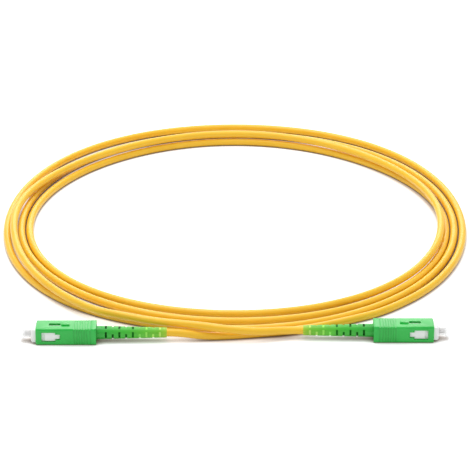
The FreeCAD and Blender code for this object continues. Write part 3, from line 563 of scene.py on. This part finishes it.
def joined_copy(side, part_name, material):
    """A copy of a CAD piece with its loose triangles joined into larger flat faces. A face with many
    corners is cut up again, because rounding its edges could close an opening that it goes round."""
    node_name = side + "_" + part_name
    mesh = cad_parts[node_name].data.copy()
    mesh.materials.clear()
    mesh.materials.append(material)
    shape = bmesh.new()
    shape.from_mesh(mesh)
    bmesh.ops.remove_doubles(shape, verts=shape.verts, dist=WELD_DISTANCE * MM)
    bmesh.ops.dissolve_limit(shape, angle_limit=FLAT_ANGLE, verts=shape.verts, edges=shape.edges)
    many_sided = [face for face in shape.faces if len(face.verts) > QUAD_CORNERS]
    bmesh.ops.triangulate(shape, faces=many_sided, ngon_method="EAR_CLIP")
    for face in shape.faces:
        face.smooth = True
    shape.to_mesh(mesh)
    shape.free()
    piece = bpy.data.objects.new(side + "_" + part_name + "_dressed", mesh)
    bpy.context.scene.collection.objects.link(piece)
    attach(piece, BODY_OF.get(part_name, "cord").format(side))
    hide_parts(node_name)
    return piece


def soft_edged(side, part_name, material, edge_width):
    """A joined copy of a CAD piece with its sharp edges rounded."""
    piece = joined_copy(side, part_name, material)
    bevel = piece.modifiers.new("soft edges", "BEVEL")
    bevel.width = edge_width * MM
    bevel.segments = 2
    bevel.limit_method = "ANGLE"
    bevel.angle_limit = SHARP_ANGLE
    bevel.harden_normals = True
    return piece


def housing_material():
    """Glossy moulded plastic that light enters a little."""
    material, nodes, links, shader = new_material("green_housing")
    patches = speckle(nodes, links, scale=120.0)
    tint(nodes, links, patches, shader, low=(0.008, 0.47, 0.050), high=(0.014, 0.52, 0.062))
    relief(nodes, links, speckle(nodes, links, scale=4000.0), shader, depth=0.006)
    shader.inputs["Roughness"].default_value = 0.3
    soft_inside(shader, weight=0.15, reach=(0.4, 1.0, 0.5), depth=0.7)
    return material


green_housing = housing_material()
for side in ("left", "right"):
    housing = soft_edged(side, "outer_housing", green_housing, edge_width=0.1)


# The plug frames: white moulded sleeves inside the housings. Their lugs fill the windows and latch the
# housing, which slides a little over them.

def frame_material():
    """White moulded plastic, a little duller than the housing."""
    material, nodes, links, shader = new_material("white_frame")
    patches = speckle(nodes, links, scale=150.0)
    tint(nodes, links, patches, shader, low=(0.90, 0.92, 0.91), high=(0.95, 0.96, 0.95))
    relief(nodes, links, speckle(nodes, links, scale=3500.0), shader, depth=0.006)
    shader.inputs["Roughness"].default_value = 0.35
    soft_inside(shader, weight=0.15, reach=(1.0, 1.0, 0.95), depth=0.6)
    return material


white_frame = frame_material()
for side in ("left", "right"):
    plug_frame = soft_edged(side, "plug_frame", white_frame, edge_width=0.08)


# The ferrules: hard white ceramic pins that hold the fibre, ground round and pressed into their flanges.
# The tips are polished at a slant.

def ceramic_material():
    """Ground ceramic with the finest of grinding rings."""
    material, nodes, links, shader = new_material("ceramic")
    patches = speckle(nodes, links, scale=400.0)
    tint(nodes, links, patches, shader, low=(0.88, 0.86, 0.80), high=(0.93, 0.91, 0.86))
    rings = speckle(nodes, links, scale=300.0, stretch=(40.0, 1.0, 1.0))
    relief(nodes, links, rings, shader, depth=0.001)
    shader.inputs["Roughness"].default_value = 0.12
    return material


ceramic = ceramic_material()
for side in ("left", "right"):
    ferrule = soft_edged(side, "ferrule", ceramic, edge_width=0.04)


# Inside each plug: a turned metal flange on the ferrule, the spring behind it, the rear body that is
# snapped into the frame, the pressed crimp sleeve and the bare buffered fibre. In the real plug the
# spring gets shorter as the ferrule is pushed in; here spring and fibre each get a mesh of their own.


def metal_material(name, low, high, roughness, ring_depth):
    """Turned or drawn metal; fine rings run round the piece's own axis."""
    material, nodes, links, shader = new_material(name)
    tint(nodes, links, speckle(nodes, links, scale=500.0), shader, low, high)
    rings = speckle(nodes, links, scale=100.0, stretch=(60.0, 1.0, 1.0))
    relief(nodes, links, rings, shader, ring_depth)
    shader.inputs["Metallic"].default_value = 1.0
    shader.inputs["Roughness"].default_value = roughness
    return material


def buffer_material():
    """The fibre's soft pale coat."""
    material, nodes, links, shader = new_material("buffer")
    patches = speckle(nodes, links, scale=300.0)
    tint(nodes, links, patches, shader, low=(0.86, 0.80, 0.62), high=(0.92, 0.87, 0.72))
    relief(nodes, links, speckle(nodes, links, scale=2000.0), shader, depth=0.005)
    shader.inputs["Roughness"].default_value = 0.5
    return material


nickel_brass = metal_material("nickel_brass", low=(0.50, 0.46, 0.38), high=(0.62, 0.58, 0.50),
                              roughness=0.28, ring_depth=0.004)
spring_steel = metal_material("spring_steel", low=(0.42, 0.42, 0.43), high=(0.55, 0.55, 0.56),
                              roughness=0.25, ring_depth=0.002)
crimp_aluminium = metal_material("crimp_aluminium", low=(0.70, 0.70, 0.71), high=(0.80, 0.80, 0.81),
                                 roughness=0.35, ring_depth=0.003)
buffer_coat = buffer_material()
for side in ("left", "right"):
    for part_name, material, slot_name, edge_width in (
            ("ferrule_flange", nickel_brass, "nickel_brass", 0.05),
            ("stop_ring", nickel_brass, "nickel_brass", 0.04),
            ("crimp_sleeve", crimp_aluminium, "crimp_aluminium", 0.03)):
        piece = soft_edged(side, part_name, material, edge_width)
    for part_name, material, slot_name in (
            ("spring", spring_steel, "spring_steel"),
            ("buffered_fibre", buffer_coat, "buffer")):
        piece = joined_copy(side, part_name, material)
        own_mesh(piece)


# The dust caps: thin clear plastic thimbles, frosted by the mould. They grip the ferrules, and each has a
# wide head to pull it off by.

def cap_material():
    """Thin milky plastic that mostly lets through what is behind it."""
    material, nodes, links, shader = new_material("clear_cap")
    patches = speckle(nodes, links, scale=200.0)
    tint(nodes, links, patches, shader, low=(0.97, 0.97, 0.98), high=(0.99, 0.99, 1.0))
    relief(nodes, links, speckle(nodes, links, scale=2200.0), shader, depth=0.004)
    shader.inputs["Roughness"].default_value = 0.22
    shader.inputs["Alpha"].default_value = 0.4
    return material


clear_cap = cap_material()
for side in ("left", "right"):
    dust_cap = soft_edged(side, "dust_cap", clear_cap, edge_width=0.1)


# The table: plain and white. It is lit to just under white and lifted to white for the camera, so that
# the soft shadows stay. Right under and beside the cord, where the table is closed in, it is painted in a
# dark warm shade and the lift falls away: painted contact shade.

TABLE_HALF = 3000.0
TABLE_TONE = (0.78, 0.78, 0.78)
PAINTED_CONTACT_SHADE = (0.20, 0.11, 0.04)
OPEN_ABOVE = 0.68
TABLE_LIFT = 0.82
SHADE_REACH = 4.5


def table_material():
    """White for the camera, in reflections and through clear pieces; plain lit paint for the rest. Where
    something stands close, both turn to painted contact shade.
    """
    material, nodes, links, shader = new_material("white_table")
    shader.inputs["Roughness"].default_value = 0.9
    shader.inputs["Specular IOR Level"].default_value = 0.0
    path = nodes.new("ShaderNodeLightPath")
    seen = path.outputs["Is Camera Ray"]
    for ray in ("Is Glossy Ray", "Is Transmission Ray"):
        either = nodes.new("ShaderNodeMath")
        either.operation = "MAXIMUM"
        links.new(seen, either.inputs[0])
        links.new(path.outputs[ray], either.inputs[1])
        seen = either.outputs["Value"]
    openness = nodes.new("ShaderNodeAmbientOcclusion")
    openness.inputs["Distance"].default_value = SHADE_REACH * MM
    # painted contact shade: the colour runs from a dark warm shade where the table is closed in to the
    # plain tone in the open
    paint = nodes.new("ShaderNodeValToRGB")
    paint.color_ramp.elements[0].color = (*PAINTED_CONTACT_SHADE, 1.0)
    paint.color_ramp.elements[1].position = OPEN_ABOVE
    paint.color_ramp.elements[1].color = (*TABLE_TONE, 1.0)
    lift = nodes.new("ShaderNodeMath")
    lift.operation = "MULTIPLY"
    lift.inputs[1].default_value = TABLE_LIFT
    glow = nodes.new("ShaderNodeEmission")
    links.new(openness.outputs["AO"], lift.inputs[0])
    links.new(openness.outputs["AO"], paint.inputs["Fac"])
    links.new(paint.outputs["Color"], shader.inputs["Base Color"])
    links.new(paint.outputs["Color"], glow.inputs["Color"])
    links.new(lift.outputs["Value"], glow.inputs["Strength"])
    mix = nodes.new("ShaderNodeMixShader")
    both = nodes.new("ShaderNodeAddShader")
    output = nodes["Material Output"]
    links.new(seen, mix.inputs["Fac"])
    links.new(shader.outputs["BSDF"], both.inputs[0])
    links.new(glow.outputs["Emission"], both.inputs[1])
    links.new(shader.outputs["BSDF"], mix.inputs[1])
    links.new(both.outputs["Shader"], mix.inputs[2])
    links.new(mix.outputs["Shader"], output.inputs["Surface"])
    return material


edge = TABLE_HALF * MM
table_corners = [(-edge, -edge, 0.0), (edge, -edge, 0.0), (edge, edge, 0.0), (-edge, edge, 0.0)]
table_mesh = bpy.data.meshes.new("table")
table_mesh.from_pydata(table_corners, [], [(0, 1, 2, 3)])
table_mesh.materials.append(table_material())
table = bpy.data.objects.new("table", table_mesh)
bpy.context.scene.collection.objects.link(table)


# The light: a dim white room, one large soft lamp overhead and a soft panel behind the coil, which
# lays a sheen on everything that faces up. Lamps are placed in metres.

ROOM_LIGHT = 0.72
LAMP_AIM = Vector((0.0, 0.1, 0.0))


def room():
    """Even white light from all round."""
    world = bpy.data.worlds.new("room")
    world.use_nodes = True
    background = world.node_tree.nodes["Background"]
    background.inputs["Color"].default_value = (1.0, 1.0, 1.0, 1.0)
    background.inputs["Strength"].default_value = ROOM_LIGHT
    bpy.context.scene.world = world


def soft_lamp(name, place, width, power):
    """A square lamp turned towards the coil; place and width in metres, power in watts."""
    light = bpy.data.lights.new(name, "AREA")
    light.shape = "SQUARE"
    light.size = width
    light.energy = power
    lamp = bpy.data.objects.new(name, light)
    lamp.location = place
    lamp.rotation_euler = (LAMP_AIM - Vector(place)).to_track_quat("-Z", "Y").to_euler()
    bpy.context.scene.collection.objects.link(lamp)


room()
soft_lamp("overhead", (-0.2, 0.3, 1.1), width=0.7, power=6.5)
soft_lamp("back panel", (0.0, 1.35, 0.7), width=0.9, power=6.0)


# The camera: a long lens from 1.2 m, looking down at 25 degrees at the middle of the coil, which is set a
# little above the middle of the picture.

CAMERA_AIM = Vector((0.0, LOOP_CENTRE_Y, 0.0)) * MM
CAMERA_DISTANCE = 1200.0
CAMERA_ELEVATION = math.radians(25.0)
SENSOR_WIDTH = 36.0
IMAGE_WIDTH = 470.0
FOCAL_PIXELS = 2642.9
AIM_ABOVE_CENTRE = 8.5

camera_data = bpy.data.cameras.new("camera")
camera_data.sensor_width = SENSOR_WIDTH
camera_data.lens = FOCAL_PIXELS / IMAGE_WIDTH * SENSOR_WIDTH
camera_data.shift_y = -AIM_ABOVE_CENTRE / IMAGE_WIDTH
camera = bpy.data.objects.new("camera", camera_data)
back = Vector((0.0, -math.cos(CAMERA_ELEVATION), math.sin(CAMERA_ELEVATION)))
camera.location = CAMERA_AIM + back * (CAMERA_DISTANCE * MM)
camera.rotation_euler = (-back).to_track_quat("-Z", "Y").to_euler()
bpy.context.scene.collection.objects.link(camera)
bpy.context.scene.camera = camera
bpy.context.scene.view_settings.view_transform = "Standard"
